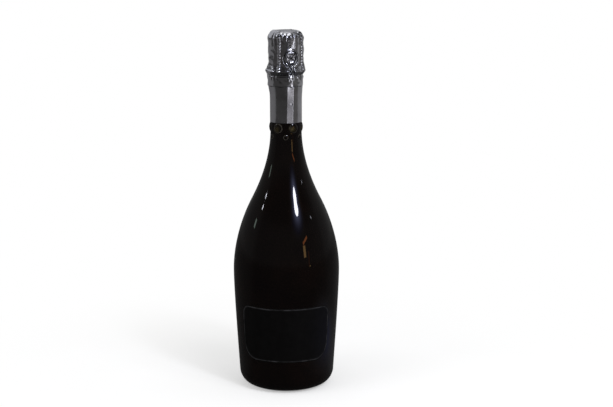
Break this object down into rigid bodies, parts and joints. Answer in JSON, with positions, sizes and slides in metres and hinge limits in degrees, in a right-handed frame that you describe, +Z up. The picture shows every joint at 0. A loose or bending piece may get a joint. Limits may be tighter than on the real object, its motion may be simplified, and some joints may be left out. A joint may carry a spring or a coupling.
{
  "type": "sparkling wine bottle",
  "caption": "Corked sparkling wine bottle with a punted base, raised bubbles on the neck, wire cage with key, torn-open foil hood, foil skirt and blank labels.",
  "frame": {"origin": "centre of the ring that the bottle stands on, on the surface under it", "axes": "+Z up along the bottle's axis to the cork, -Y towards the front label"},
  "size_m": [0.0956, 0.0956, 0.3221],
  "materials": {
    "dark_glass": "moulded, glossy, almost black",
    "wine": "clear pale gold liquid",
    "cork": "pressed cork granules, matt",
    "cork_disc": "cut natural cork, matt",
    "cap_tin": "pressed and lacquered tinplate",
    "wire": "drawn galvanised wire",
    "foil": "crumpled laminate foil, satin silver grey",
    "foil_disc": "flat laminate foil, satin silver grey",
    "front_label_paper": "matt black coated paper, embossed border",
    "back_label_paper": "matt black coated paper"
  },
  "bodies": {
    "bottle": {"glass_bottle": "dark_glass", "wine": "wine", "foil_skirt": "foil", "front_label": "front_label_paper", "back_label": "back_label_paper"},
    "cork": {"cork_body": "cork", "cork_disc_upper": "cork_disc", "cork_disc_lower": "cork_disc"},
    "cage": {"cage_cap": "cap_tin", "cage_crown": "wire", "cage_leg_1": "wire", "cage_leg_2": "wire", "cage_leg_3": "wire", "cage_leg_4": "wire", "cage_belt": "wire"},
    "key": {"cage_key": "wire"},
    "hood": {"foil_hood": "foil", "foil_top_disc": "foil_disc"}
  },
  "joints": [
    {"name": "cork_pull", "type": "slide", "parent": "bottle", "child": "cork", "axis": [0, 0, 1], "range_m": [0, 0.06]},
    {"name": "cage_lift", "type": "slide", "parent": "cork", "child": "cage", "axis": [0, 0, 1], "range_m": [0, 0.05], "deforming": ["cage_belt"]},
    {"name": "key_fold", "type": "hinge", "parent": "cage", "child": "key", "pos_m": [0.00488, -0.01503, 0.28502], "axis": [0.9511, 0.309, 0], "range_deg": [0, 110]},
    {"name": "hood_lift", "type": "slide", "parent": "cage", "child": "hood", "axis": [0, 0, 1], "range_m": [0, 0.055], "deforming": ["foil_hood"]}
  ]
}
